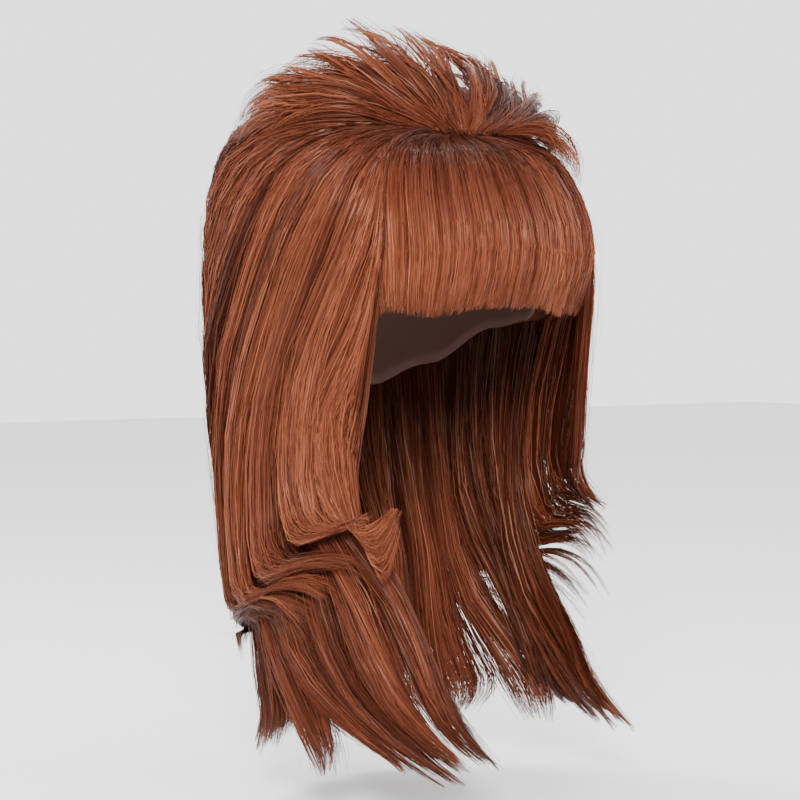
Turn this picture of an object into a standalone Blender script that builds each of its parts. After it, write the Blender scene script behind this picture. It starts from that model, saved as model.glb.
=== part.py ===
"""A long beehive wig: a stretch cap, the back-combed base over it, and the hair in layers.

Metres, +Z up.  The wearer faces -Y and the wearer's right is -X.  The origin is where the
top of the head meets the inside of the cap.

Every layer of hair follows one smooth form, the hair's outer surface.  A place on it is a
turn about the head (0 in front, -90 at the wearer's right, 180 behind) and a level, counted
in rows of LEVELS from the top of the mound.
"""

import math

import bmesh
import bpy
from mathutils import Vector

MM = 0.001

# The head that the cap is knitted for
HEAD_HALF_WIDTH = 76 * MM
HEAD_HALF_DEPTH = 95 * MM
HEAD_TOP_TO_GIRTH = 100 * MM
CAP_WALL = 2 * MM

# The outer form of the hair
MOUND_RISE = 84 * MM
FALL_LENGTH = 440 * MM
HALF_WIDTH = 137 * MM
FRONT_REACH = 111 * MM
BACK_REACH = 192 * MM
FULLNESS = 0.02

# Layers of hair, each where it is thickest
TOP_LAYER = 9 * MM
FRINGE_LAYER = 8 * MM
UNDER_LAYER = 11 * MM
TUFT_LAYER = 7 * MM
LOCK_RIDGE = 4 * MM

# How far the ends stand off the form
TUFT_RISE = 30 * MM
LEFT_FLICK = 24 * MM
BACK_FLICK = 10 * MM
FRINGE_TUCK = 3 * MM

# Gaps between pieces
SEAT_GAP = 0.4 * MM
RIM_GAP = 0.9 * MM
ROOT_GAP = 0.9 * MM
SWEPT_ROOT_GAP = 1.6 * MM
LAYER_GAP = 4 * MM
EDGE_GAP = 1.2 * MM

# Sections of the outer form, from the top of the mound to the ends of the hair.  height is
# a share of MOUND_RISE above the origin and of FALL_LENGTH below it, width of HALF_WIDTH,
# front of FRONT_REACH ahead of the origin and back of BACK_REACH behind it.
LEVELS = (
    # height, width, front, back
    (1.000, 0.000, -0.500, 0.300),
    (0.930, 0.380, -0.200, 0.560),
    (0.750, 0.620, 0.060, 0.750),
    (0.510, 0.790, 0.290, 0.850),
    (0.360, 0.860, 0.440, 0.900),
    (0.140, 0.920, 0.700, 0.945),
    (-0.034, 0.965, 0.880, 0.975),
    (-0.114, 0.995, 1.000, 0.995),
    (-0.205, 1.000, 0.960, 1.000),
    (-0.318, 0.985, 0.860, 0.975),
    (-0.455, 0.970, 0.790, 0.920),
    (-0.591, 0.970, 0.800, 0.860),
    (-0.727, 0.995, 0.880, 0.790),
    (-0.864, 1.020, 0.990, 0.730),
    (-1.000, 1.020, 1.040, 0.690),
)

# The cap's rim: how far below the origin it runs, as a share of HEAD_TOP_TO_GIRTH, from the
# hairline over the ear to the nape.
RIM = (
    # turn, drop
    (0, 0.58),
    (35, 0.64),
    (60, 0.88),
    (80, 1.08),
    (105, 1.14),
    (140, 1.42),
    (180, 1.58),
)

# Paths of the hair from root to tip.  Those of the top layer, the fringe and the tufts run
# from the wearer's right to the middle, as (turn, level), and the left half mirrors them.
TOP_FLOW = (
    # root, crest, ear, jaw, curl, tip
    ((-31, 3.90), (-48, 5.7), (-53, 8.3), (-56, 9.7), (-53, 10.5), (-44, 10.9)),
    ((-37, 3.80), (-64, 5.5), (-79, 8.0), (-90, 9.9), (-82, 11.1), (-56, 11.7)),
    ((-43, 3.65), (-83, 5.1), (-103, 7.8), (-115, 10.0), (-107, 11.6), (-76, 12.35)),
    ((-47, 3.40), (-102, 4.5), (-128, 7.4), (-138, 10.0), (-135, 11.9), (-108, 12.9)),
    ((-34, 3.12), (-125, 2.9), (-153, 6.4), (-161, 9.8), (-159, 11.8), (-147, 12.9)),
    ((0, 3.05), (180, 1.2), (180, 5.6), (180, 9.4), (180, 11.5), (180, 13.0)),
)
FRINGE_FLOW = (
    # root, crest, bulge, brow, tip
    ((-27, 3.95), (-41, 5.2), (-46, 6.5), (-46, 7.5), (-45, 8.35)),
    ((-13, 3.85), (-21, 5.1), (-24, 6.4), (-24, 7.5), (-24, 8.30)),
    ((0, 3.80), (0, 5.1), (0, 6.4), (0, 7.4), (0, 8.20)),
)
TUFT_FLOW = (
    # root, lift, arch, tip
    ((-26, 3.64), (-50, 3.40), (-68, 3.6), (-79, 4.0)),
    ((-14, 3.62), (-36, 2.70), (-62, 2.3), (-82, 2.4)),
    ((0, 3.60), (0, 2.40), (0, 1.2), (0, 0.1)),
)
# The under layer hangs from the cap's rim.  Its paths run from the wearer's right round the
# back to the left, each place a turn that grows to 360 and a share of the way down.
UNDER_FLOW = (
    # root, neck, shoulder, chest, tip
    ((60, 0.0), (60, 0.36), (37, 0.62), (22, 0.82), (12, 0.98)),
    ((84, 0.0), (86, 0.36), (72, 0.62), (52, 0.82), (38, 1.00)),
    ((112, 0.0), (112, 0.36), (106, 0.62), (93, 0.82), (84, 0.97)),
    ((146, 0.0), (146, 0.36), (144, 0.62), (140, 0.82), (136, 0.98)),
    ((180, 0.0), (180, 0.36), (180, 0.62), (180, 0.82), (180, 1.00)),
    ((214, 0.0), (214, 0.36), (216, 0.62), (218, 0.82), (220, 0.98)),
    ((240, 0.0), (239, 0.36), (244, 0.62), (262, 0.82), (270, 0.95)),
    ((262, 0.0), (258, 0.36), (268, 0.62), (288, 0.82), (296, 0.97)),
    ((284, 0.0), (274, 0.36), (288, 0.62), (308, 0.82), (318, 0.93)),
)

# Each layer's wall from root to tip, as shares of its thickness.
WALLS = {
    "top": (0.35, 0.9, 1.0, 0.85, 0.25),
    "fringe": (0.3, 0.8, 1.0, 0.9, 0.4),
    "tuft": (0.5, 0.8, 0.8, 0.25),
    "under": (0.7, 0.9, 1.0, 0.9, 0.3),
}

THICKNESS = {
    "top": TOP_LAYER,
    "fringe": FRINGE_LAYER,
    "tuft": TUFT_LAYER,
    "under": UNDER_LAYER,
}

# How much deeper than just clear of the top layer the under layer lies, from root to tip, as
# shares of UNDER_LAYER.  Its tips come out from under the top layer.
UNDER_DEPTH = (0.6, 0.6, 0.5, 0.1, -0.9)
# How far a tuft has risen by its arch, as a share of TUFT_RISE.
ARCH_SHARE = 0.6

# How much of its width a lock loses by its tip, how far the locks' tips stray to the side
# as a share of a lock's width, and how much earlier than the layer the shortest one ends.
LOCK_TAPER = 0.75
LOCK_STRAY = 0.4
LOCK_SHORTER = 0.12

# One row for each layer of hair.  first and last are rows of its flow, and parting is the
# share of its length where the locks come apart, to narrow by the power named taper.
LAYERS = (
    # name, flow, first, last, locks, stations, parting, taper, sway, flick
    ("side_right", "top", 0, 3, 6, 14, 0.62, 2.0, 0.4, 0.0),
    ("crown_and_back", "top", 3, 7, 8, 18, 0.72, 2.0, 1.1, BACK_FLICK),
    ("side_left", "top", 7, 10, 6, 14, 0.62, 2.0, 2.3, LEFT_FLICK),
    ("fringe", "fringe", 0, 4, 9, 9, 0.88, 2.0, 0.9, 0.0),
    ("crown_tufts", "tuft", 0, 4, 11, 8, 0.20, 1.0, 0.5, 0.0),
    ("fall_right", "under", 0, 2, 5, 13, 0.70, 2.0, 0.2, 0.0),
    ("fall_back", "under", 2, 6, 7, 13, 0.75, 2.0, 1.6, 0.0),
    ("fall_left", "under", 6, 8, 5, 13, 0.66, 2.0, 2.9, LEFT_FLICK),
)
COLUMNS = 3  # faces across each lock
SHELL_SIDES = 26
SHELL_RINGS = 7

# Hair colours
COPPER = (0.235, 0.062, 0.030)
DEEP_COPPER = (0.120, 0.030, 0.016)
CAP_BROWN = (0.060, 0.022, 0.014)


def spline(points, at):
    """A smooth curve through tuples, at a place counted in points from the first."""
    last = len(points) - 1
    i = min(max(int(math.floor(at)), 0), last - 1)
    t = at - i
    b, c = points[i], points[i + 1]
    a = points[i - 1] if i > 0 else tuple(2 * x - y for x, y in zip(b, c))
    d = points[i + 2] if i + 2 <= last else tuple(2 * y - x for x, y in zip(b, c))
    return tuple(
        0.5
        * (
            2 * q
            + (r - p) * t
            + (2 * p - 5 * q + 4 * r - s) * t * t
            + (3 * q - p - 3 * r + s) * t * t * t
        )
        for p, q, r, s in zip(a, b, c, d)
    )


def profile(values, share):
    """A number that follows a short list of values from root to tip."""
    return spline([(value,) for value in values], share * (len(values) - 1))[0]


def sections():
    """Each level as (height, half width, middle of the depth, half depth), in metres."""
    rows = []
    for height, width, front, back in LEVELS:
        rise = height * (MOUND_RISE if height > 0 else FALL_LENGTH)
        ahead = -front * FRONT_REACH
        behind = back * BACK_REACH
        rows.append((rise, width * HALF_WIDTH, (ahead + behind) / 2, (behind - ahead) / 2))
    # The form closes over the mound, so the row before the first mirrors the second.
    height, width, middle, depth = rows[1]
    return [(height, -width, middle, -depth)] + rows


SECTIONS = sections()


def section(level):
    return spline(SECTIONS, level + 1)


def on_map(turn, level):
    """A place as flat coordinates about the top of the mound, across and backwards."""
    angle = math.radians(turn)
    return (level * math.sin(angle), -level * math.cos(angle))


def surface(across, backwards):
    height, width, middle, depth = section(math.hypot(across, backwards))
    turn = math.atan2(across, -backwards)
    full = 1 + FULLNESS * math.sin(2 * turn) ** 2
    return Vector(
        (width * full * math.sin(turn), middle - depth * full * math.cos(turn), height)
    )


def lifted(place, lift):
    """A point that far outside the form, square to it."""
    across, backwards = place
    step = 0.02
    along_x = surface(across + step, backwards) - surface(across - step, backwards)
    along_y = surface(across, backwards + step) - surface(across, backwards - step)
    return surface(across, backwards) + lift * along_x.cross(along_y).normalized()


def rim_drop(turn):
    """Depth of the cap's rim below the origin at a turn in degrees."""
    turn = abs((turn + 180) % 360 - 180)
    for (turn_a, drop_a), (turn_b, drop_b) in zip(RIM, RIM[1:]):
        if turn <= turn_b:
            share = (turn - turn_a) / (turn_b - turn_a)
            eased = share * share * (3 - 2 * share)
            return (drop_a + (drop_b - drop_a) * eased) * HEAD_TOP_TO_GIRTH
    return RIM[-1][1] * HEAD_TOP_TO_GIRTH


def level_at(height):
    """The level whose section lies at that height, by halving the range."""
    low, high = 0.0, len(LEVELS) - 1.0
    for _ in range(40):
        middle = (low + high) / 2
        if section(middle)[0] > height:
            low = middle
        else:
            high = middle
    return low


def head_point(turn, share, grow):
    """A point on the head form at a share of the way from its top to the cap's rim."""
    girth = HEAD_TOP_TO_GIRTH + grow
    angle = share * math.acos(1 - (rim_drop(turn) + grow) / girth)
    side = math.radians(turn)
    return Vector(
        (
            (HEAD_HALF_WIDTH + grow) * math.sin(angle) * math.sin(side),
            -(HEAD_HALF_DEPTH + grow) * math.sin(angle) * math.cos(side),
            grow - girth + girth * math.cos(angle),
        )
    )


def base_point(turn, share):
    """A point on the outside of the back-combed base, whose rim is level with the cap's."""
    level = share * level_at(-rim_drop(turn))
    place = lifted(on_map(turn, level), -TOP_LAYER - LAYER_GAP)
    if share == 1:
        place.z = -rim_drop(turn)
    return place


def space(flow):
    """Lift of a layer's inner face above the form, from root to tip."""
    clear = -TOP_LAYER - LAYER_GAP
    if flow == "under":
        return tuple(clear - (1 + depth) * UNDER_LAYER for depth in UNDER_DEPTH)
    if flow == "fringe":
        return (clear + ROOT_GAP,) + 3 * (-FRINGE_LAYER,) + (-FRINGE_LAYER - FRINGE_TUCK,)
    if flow == "tuft":
        return (clear + ROOT_GAP, LOCK_RIDGE + LAYER_GAP, ARCH_SHARE * TUFT_RISE, TUFT_RISE)
    return (clear + SWEPT_ROOT_GAP,) + 4 * (-TOP_LAYER,)


def mirrored(table):
    """The paths of a flow as map places, those of the left half in reverse after the right."""
    right = [[on_map(turn, level) for turn, level in row] for row in table]
    left = [[(-across, backwards) for across, backwards in row] for row in reversed(right)]
    return right + left[1:]


PATHS = {
    "top": mirrored(TOP_FLOW),
    "fringe": mirrored(FRINGE_FLOW),
    "tuft": mirrored(TUFT_FLOW),
    "under": UNDER_FLOW,
}


def route(flow, row, share):
    """Map place at a share of the way from root to tip, on the path numbered row."""
    paths = PATHS[flow]
    stations = share * (len(paths[0]) - 1)
    place = spline([spline(path, stations) for path in paths], row)
    if flow != "under":
        return place
    turn, drop = place
    rim_level = level_at(-rim_drop(turn))
    return on_map(-turn, rim_level + drop * (len(LEVELS) - 1 - rim_level))


def material(name, colour, roughness):
    made = bpy.data.materials.new(name)
    made.use_nodes = True
    shader = made.node_tree.nodes["Principled BSDF"]
    shader.inputs["Base Color"].default_value = (*colour, 1)
    shader.inputs["Roughness"].default_value = roughness
    return made


def finished(name, bm, look):
    """The closed mesh as a named object with its faces out."""
    bmesh.ops.recalc_face_normals(bm, faces=bm.faces[:])
    mesh = bpy.data.meshes.new(name)
    bm.to_mesh(mesh)
    bm.free()
    mesh.shade_smooth()
    mesh.materials.append(look)
    piece = bpy.data.objects.new(name, mesh)
    bpy.context.scene.collection.objects.link(piece)
    return piece


def shell(name, look, outer, inner, sides, rings):
    """A bowl-shaped wall, mouth down, between two forms given as point(turn, share)."""
    bm = bmesh.new()
    turns = [360 * i / sides for i in range(sides)]
    rims = []
    for form in (outer, inner):
        top = bm.verts.new(form(0, 0))
        before = None
        for ring in range(1, rings + 1):
            loop = [bm.verts.new(form(turn, ring / rings)) for turn in turns]
            for i in range(sides):
                j = (i + 1) % sides
                if before is None:
                    bm.faces.new((top, loop[i], loop[j]))
                else:
                    bm.faces.new((before[i], before[j], loop[j], loop[i]))
            before = loop
        rims.append(before)
    for i in range(sides):
        j = (i + 1) % sides
        bm.faces.new((rims[0][i], rims[0][j], rims[1][j], rims[1][i]))
    return finished(name, bm, look)


def hair_layer(look, name, flow, first, last, locks, stations, parting, taper, sway, flick):
    """A layer of hair as one solid: locks side by side on one backing, whose ends part."""
    slot = (last - first) / locks
    parted_from = round(parting * stations)
    inner_lift = space(flow)
    thickness = THICKNESS[flow]
    bm = bmesh.new()

    def point(lock, column, station, outside):
        """A corner of the lock's wall.  Past the parting it narrows, sways and ends early."""
        share = station / stations
        free = max(0.0, (share - parting) / (1 - parting))
        narrow = 1 - LOCK_TAPER * free**taper
        bend = LOCK_STRAY * (1 - narrow) * math.sin(1.9 * lock + sway)
        row = first + slot * (lock + 0.5 + bend + narrow * (column / COLUMNS - 0.5))
        stop = share - LOCK_SHORTER * free * (0.5 + 0.5 * math.sin(2.6 * lock + sway))
        wall = thickness * profile(WALLS[flow], share)
        lift = profile(inner_lift, share) + flick * free * free
        if outside:
            ridge = math.sin(math.pi * column / COLUMNS)
            lift += wall + LOCK_RIDGE * ridge * min(1, wall / thickness)
        place = lifted(route(flow, row, stop), lift)
        if flow == "under" and station == 0:
            turn = math.degrees(math.atan2(place.x, -place.y))
            place.z = -rim_drop(turn) - RIM_GAP
        return place

    def corner(lock, column, station, outside):
        """The point, moved in from a free edge by half the gap to the lock beside it."""
        here = point(lock, column, station, outside)
        edge_of_layer = (lock, column) in ((0, 0), (locks - 1, COLUMNS))
        parted = station > parted_from and column in (0, COLUMNS)
        if not (edge_of_layer or parted):
            return here
        inner = point(lock, 1 if column == 0 else COLUMNS - 1, station, outside)
        return here + (inner - here).normalized() * EDGE_GAP / 2

    made = {}

    def vertex(lock, column, station, outside):
        if station <= parted_from and column == COLUMNS and lock < locks - 1:
            lock, column = lock + 1, 0
        key = (lock, column, station, outside)
        if key not in made:
            made[key] = bm.verts.new(corner(*key))
        return made[key]

    def face(*keys):
        bm.faces.new([vertex(*key) for key in keys])

    for lock in range(locks):
        for station in range(stations):
            after = station + 1
            for column in range(COLUMNS):
                beside = column + 1
                for outside in (True, False):
                    face(
                        (lock, column, station, outside),
                        (lock, beside, station, outside),
                        (lock, beside, after, outside),
                        (lock, column, after, outside),
                    )
            for column in (0, COLUMNS):
                edge_of_layer = (lock, column) in ((0, 0), (locks - 1, COLUMNS))
                if edge_of_layer or station >= parted_from:
                    face(
                        (lock, column, station, True),
                        (lock, column, after, True),
                        (lock, column, after, False),
                        (lock, column, station, False),
                    )
        for station in (0, stations):
            for column in range(COLUMNS):
                face(
                    (lock, column, station, True),
                    (lock, column + 1, station, True),
                    (lock, column + 1, station, False),
                    (lock, column, station, False),
                )
    return finished(name, bm, look)


def build():
    for old in list(bpy.data.objects):
        bpy.data.objects.remove(old, do_unlink=True)

    hair = material("copper_hair", COPPER, 0.42)
    base_hair = material("back_combed_hair", DEEP_COPPER, 0.7)
    knit = material("cap_knit", CAP_BROWN, 0.85)

    def cap_inside(turn, share):
        return head_point(turn, share, 0)

    def cap_outside(turn, share):
        return head_point(turn, share, CAP_WALL)

    def base_inside(turn, share):
        return head_point(turn, share, CAP_WALL + SEAT_GAP)

    shell("cap", knit, cap_outside, cap_inside, SHELL_SIDES, SHELL_RINGS)
    shell("back_combed_base", base_hair, base_point, base_inside, SHELL_SIDES, SHELL_RINGS)
    for row in LAYERS:
        hair_layer(hair, *row)


build()
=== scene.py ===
"""Beehive wig: dresses the solids of the frame with locks, strands and a knitted cap."""

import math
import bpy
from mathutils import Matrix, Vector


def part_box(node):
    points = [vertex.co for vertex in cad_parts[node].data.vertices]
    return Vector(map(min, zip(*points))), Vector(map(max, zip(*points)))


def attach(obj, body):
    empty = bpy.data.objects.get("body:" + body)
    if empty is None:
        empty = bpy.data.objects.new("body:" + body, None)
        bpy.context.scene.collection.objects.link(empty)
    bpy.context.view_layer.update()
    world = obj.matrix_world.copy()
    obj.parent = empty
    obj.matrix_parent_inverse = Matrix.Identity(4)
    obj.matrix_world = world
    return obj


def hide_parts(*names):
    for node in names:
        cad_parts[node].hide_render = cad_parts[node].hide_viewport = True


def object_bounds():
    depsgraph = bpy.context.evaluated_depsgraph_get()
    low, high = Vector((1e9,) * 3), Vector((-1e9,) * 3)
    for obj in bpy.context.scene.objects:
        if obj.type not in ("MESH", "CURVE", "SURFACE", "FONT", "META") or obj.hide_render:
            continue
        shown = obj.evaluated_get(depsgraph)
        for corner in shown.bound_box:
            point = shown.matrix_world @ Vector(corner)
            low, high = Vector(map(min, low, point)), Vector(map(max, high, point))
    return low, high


bl_info = {
    "name": "Beehive Wig",
    "version": (1, 0, 0),
    "blender": (4, 5, 0),
    "location": "3D View > Sidebar > Wig",
    "description": "Builds the hair, the cap and a plain stage round the wig's frame",
    "category": "Add Mesh",
}

from collections import namedtuple

import bmesh
import bpy
import numpy as np
from mathutils import Vector

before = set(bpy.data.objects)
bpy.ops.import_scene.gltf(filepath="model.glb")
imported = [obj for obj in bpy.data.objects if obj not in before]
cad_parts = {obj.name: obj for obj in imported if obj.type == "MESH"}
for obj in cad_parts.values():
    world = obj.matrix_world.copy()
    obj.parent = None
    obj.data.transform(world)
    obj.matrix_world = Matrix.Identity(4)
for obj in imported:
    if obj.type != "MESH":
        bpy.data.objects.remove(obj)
CAD_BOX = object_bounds()

MM = 0.001

# Layers of hair, as the frame has them
TOP_LAYER = 9 * MM
FRINGE_LAYER = 8 * MM
UNDER_LAYER = 11 * MM
TUFT_LAYER = 7 * MM
LOCK_RIDGE = 4 * MM
LAYER_GAP = 4 * MM
BASE_DEPTH = TOP_LAYER + LAYER_GAP
CAP_WALL = 2 * MM
TUFT_RISE = 30 * MM
LEFT_FLICK = 24 * MM
BACK_FLICK = 10 * MM
FRINGE_TUCK = 3 * MM

# The hair's outer form, from the boxes of the frame's nodes
BASE_LOW, BASE_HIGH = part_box("back_combed_base")
CAP_LOW, CAP_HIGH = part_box("cap")
MOUND_RISE = BASE_HIGH[2] + BASE_DEPTH
HALF_WIDTH = BASE_HIGH[0] + BASE_DEPTH + 1 * MM
FRONT_REACH = BASE_DEPTH - BASE_LOW[1]
BACK_REACH = BASE_HIGH[1] + BASE_DEPTH
FALL_LENGTH = 3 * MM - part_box("fall_right")[0][2]
FULLNESS = 0.02

# The head that fills the cap
HEAD_HALF_WIDTH = CAP_HIGH[0] - 1.2 * MM
HEAD_HALF_DEPTH = CAP_HIGH[1] - CAP_WALL
HEAD_TOP_TO_GIRTH = 100 * MM

# Sections of the outer form, as in the frame: height is a share of MOUND_RISE above the
# origin and of FALL_LENGTH below it, and the rest are shares of the reaches.
LEVELS = (
    # height, width, front, back
    (1.000, 0.000, -0.500, 0.300),
    (0.930, 0.380, -0.200, 0.560),
    (0.750, 0.620, 0.060, 0.750),
    (0.510, 0.790, 0.290, 0.850),
    (0.360, 0.860, 0.440, 0.900),
    (0.140, 0.920, 0.700, 0.945),
    (-0.034, 0.965, 0.880, 0.975),
    (-0.114, 0.995, 1.000, 0.995),
    (-0.205, 1.000, 0.960, 1.000),
    (-0.318, 0.985, 0.860, 0.975),
    (-0.455, 0.970, 0.790, 0.920),
    (-0.591, 0.970, 0.800, 0.860),
    (-0.727, 0.995, 0.880, 0.790),
    (-0.864, 1.020, 0.990, 0.730),
    (-1.000, 1.020, 1.040, 0.690),
)
LAST_LEVEL = len(LEVELS) - 1

# The cap's rim: turn, and drop below the origin as a share of HEAD_TOP_TO_GIRTH
RIM = ((0, 0.58), (35, 0.64), (60, 0.88), (80, 1.08), (105, 1.14), (140, 1.42), (180, 1.58))

# Paths of the hair from root to tip, as (turn, level), from the wearer's right to the
# middle.  The left half mirrors them.
TOP_FLOW = (
    # root, crest, ear, jaw, curl, tip
    ((-31, 3.90), (-48, 5.7), (-53, 8.3), (-56, 9.7), (-53, 10.5), (-44, 10.9)),
    ((-37, 3.80), (-64, 5.5), (-79, 8.0), (-90, 9.9), (-82, 11.1), (-56, 11.7)),
    ((-43, 3.65), (-83, 5.1), (-103, 7.8), (-115, 10.0), (-107, 11.6), (-76, 12.35)),
    ((-47, 3.40), (-102, 4.5), (-128, 7.4), (-138, 10.0), (-135, 11.9), (-108, 12.9)),
    ((-34, 3.12), (-125, 2.9), (-153, 6.4), (-161, 9.8), (-159, 11.8), (-147, 12.9)),
    ((0, 3.05), (180, 1.2), (180, 5.6), (180, 9.4), (180, 11.5), (180, 13.0)),
)
FRINGE_FLOW = (
    # root, crest, bulge, brow, tip
    ((-27, 3.95), (-41, 5.2), (-46, 6.5), (-46, 7.5), (-45, 8.35)),
    ((-13, 3.85), (-21, 5.1), (-24, 6.4), (-24, 7.5), (-24, 8.30)),
    ((0, 3.80), (0, 5.1), (0, 6.4), (0, 7.4), (0, 8.20)),
)
TUFT_FLOW = (
    # root, lift, arch, tip
    ((-26, 3.64), (-50, 3.40), (-68, 3.6), (-79, 4.0)),
    ((-14, 3.62), (-36, 2.70), (-62, 2.3), (-82, 2.4)),
    ((0, 3.60), (0, 2.40), (0, 1.2), (0, 0.1)),
)
# The under layer, from the wearer's right round the back to the left: each place is a turn
# that grows to 360 and a share of the way down from the cap's rim.
UNDER_FLOW = (
    # root, neck, shoulder, chest, tip
    ((60, 0.0), (60, 0.36), (37, 0.62), (22, 0.82), (12, 0.98)),
    ((84, 0.0), (86, 0.36), (72, 0.62), (52, 0.82), (38, 1.00)),
    ((112, 0.0), (112, 0.36), (106, 0.62), (93, 0.82), (84, 0.97)),
    ((146, 0.0), (146, 0.36), (144, 0.62), (140, 0.82), (136, 0.98)),
    ((180, 0.0), (180, 0.36), (180, 0.62), (180, 0.82), (180, 1.00)),
    ((214, 0.0), (214, 0.36), (216, 0.62), (218, 0.82), (220, 0.98)),
    ((240, 0.0), (239, 0.36), (244, 0.62), (262, 0.82), (270, 0.95)),
    ((262, 0.0), (258, 0.36), (268, 0.62), (288, 0.82), (296, 0.97)),
    ((284, 0.0), (274, 0.36), (288, 0.62), (308, 0.82), (318, 0.93)),
)

# Each layer's wall from root to tip as shares of its thickness, and the thickness
WALLS = {
    "top": (0.35, 0.9, 1.0, 0.85, 0.25),
    "fringe": (0.3, 0.8, 1.0, 0.9, 0.4),
    "tuft": (0.5, 0.8, 0.8, 0.25),
    "under": (0.7, 0.9, 1.0, 0.9, 0.3),
}
THICKNESS = {
    "top": TOP_LAYER,
    "fringe": FRINGE_LAYER,
    "tuft": TUFT_LAYER,
    "under": UNDER_LAYER,
}
# Lift of each layer's inner face above the form, from root to tip
SPACE = {
    "top": (-BASE_DEPTH + 1.6 * MM,) + 4 * (-TOP_LAYER,),
    "fringe": (-BASE_DEPTH,) + 3 * (-FRINGE_LAYER,) + (-FRINGE_LAYER - FRINGE_TUCK,),
    "tuft": (-BASE_DEPTH, LOCK_RIDGE + LAYER_GAP, 0.6 * TUFT_RISE, TUFT_RISE),
    "under": tuple(-BASE_DEPTH - (1 + d) * UNDER_LAYER for d in (0.6, 0.6, 0.5, 0.1, -0.9)),
}
LOCK_TAPER = 0.75
LOCK_STRAY = 0.4
LOCK_SHORTER = 0.07

Layer = namedtuple("Layer", "flow first last locks parting taper sway flick")
LAYERS = {
    "side_right": Layer("top", 0, 3, 6, 0.62, 2.0, 0.4, 0.0),
    "crown_and_back": Layer("top", 3, 7, 8, 0.72, 2.0, 1.1, BACK_FLICK),
    "side_left": Layer("top", 7, 10, 6, 0.62, 2.0, 2.3, LEFT_FLICK),
    "fringe": Layer("fringe", 0, 4, 9, 0.88, 2.0, 0.9, 0.0),
    "crown_tufts": Layer("tuft", 0, 4, 11, 0.20, 1.0, 0.5, 0.0),
    "fall_right": Layer("under", 0, 2, 5, 0.70, 2.0, 0.2, 0.0),
    "fall_back": Layer("under", 2, 6, 7, 0.75, 2.0, 1.6, 0.0),
    "fall_left": Layer("under", 6, 8, 5, 0.66, 2.0, 2.9, LEFT_FLICK),
}

# How the hair of each layer lies, lengths in millimetres
Style = namedtuple(
    "Style",
    (
        "strands",  # how many
        "stations",  # points along each
        "wisps",  # bundles in a lock
        "extra",  # more locks that start past the first row or, above 0, past the last
        "swing",  # width of a lock's wave
        "waves",  # how many waves a lock has
        "drift",  # width of a wisp's wave
        "throw",  # how far a wisp's end stands off
        "ridge",  # how far a lock stands out at its middle
        "crest",  # how far a layer stands out near its roots
        "gather",  # how close a wisp comes together
        "uneven",  # how much shorter some wisps end
        "blunt",  # how wide the locks end
        "around",  # share of a lock's section that has strands
        "facing",  # the side that share is centred on: 1 outside, -1 inside
        "core",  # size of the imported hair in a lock's section
        "core_length",  # share of the way that it reaches
        "tone",  # how much lighter or darker a layer's strands are painted: painted light and shade
        "droop",  # how far the ends sag and come up again, as a share of the way down
        "curl",  # degrees that the tips turn towards the wearer's left
    ),
)
STYLES = {
    "side_right": Style(
        6000, 15, 12, -3, 9, 1.25, 7, 5, 11, 1, 0.72, 0.10, 0.5, 0.62, 1,
        0.72, 0.82, 0.0, 0.045, 4),
    "crown_and_back": Style(
        4800, 15, 12, 0, 6, 1.25, 7, 8, 9, -2, 0.75, 0.10, 0.2, 0.62, 1,
        0.72, 0.88, 0.12, 0.0, 0),
    "side_left": Style(
        3800, 14, 10, 3, 6, 1.25, 6, 12, 5, -3, 0.75, 0.10, 0.2, 0.9, 1,
        0.66, 0.80, 0.02, 0.0, 6),
    "fringe": Style(
        5200, 12, 8, 0, 0, 1.0, 1, 0, 3, 0, 0.3, 0.02, 0.9, 0.7, 1,
        0.5, 0.93, 0.06, 0.0, 0),
    "crown_tufts": Style(
        4400, 9, 8, 0, 4, 0.8, 11, 14, 2, 0, 0.88, 0.30, 0.2, 1.0, 1,
        0.4, 0.55, 0.36, 0.0, 0),
    "fall_right": Style(
        4400, 12, 11, 0, 10, 1.3, 9, 8, 8, 0, 0.82, 0.12, 0.2, 0.9, 1,
        0.60, 0.78, -0.18, 0.0, 12),
    "fall_back": Style(
        3600, 10, 14, 0, 6, 1.3, 6, 4, 4, 0, 0.5, 0.10, 0.3, 0.8, -1,
        0.5, 0.72, -0.10, 0.0, 0),
    "fall_left": Style(
        3800, 12, 11, 0, 9, 1.4, 9, 10, 6, 0, 0.82, 0.14, 0.2, 1.0, 1,
        0.50, 0.74, -0.05, 0.0, 8),
}
STRAYS = {
    "side_right": 220, "crown_and_back": 260, "side_left": 160, "fringe": 40,
    "crown_tufts": 240, "fall_right": 120, "fall_back": 20, "fall_left": 140,
}
# Rows that the upper layer's hair leans back by, from root to tip
SWEEP = (0.0, 0.6, 1.0, 1.35, 1.0)
WHORL_LEVEL = 3.72
WHORL_PULL = 0.4
WHORL_SHARE = 0.16
EDGE = 0.3
# How far the locks of each flow come apart half way down, as a share of their width
PARTED = {"top": 0.16, "fringe": 0.0, "tuft": 0.1, "under": 0.1}
# Rows by which the strands of each flow may pass its outer paths
BEYOND = {"top": 0.5, "fringe": 0.2, "tuft": 0.3, "under": 0.1}
TILT = 2.5 * MM
STEP = 3 * MM


def catmull(t):
    """Weights of the four points round a place, for a smooth curve through them."""
    return (
        0.5 * (-t + 2 * t * t - t**3),
        0.5 * (2 - 5 * t * t + 3 * t**3),
        0.5 * (t + 4 * t * t - 3 * t**3),
        0.5 * (-t * t + t**3),
    )


def ends_added(points):
    """The points with one more at each end, in line with the last two."""
    points = np.asarray(points, float)
    return np.concatenate([[2 * points[0] - points[1]], points, [2 * points[-1] - points[-2]]])


def split_place(at, count):
    whole = np.clip(np.floor(at).astype(int), 0, count - 2)
    return whole, at - whole


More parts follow.
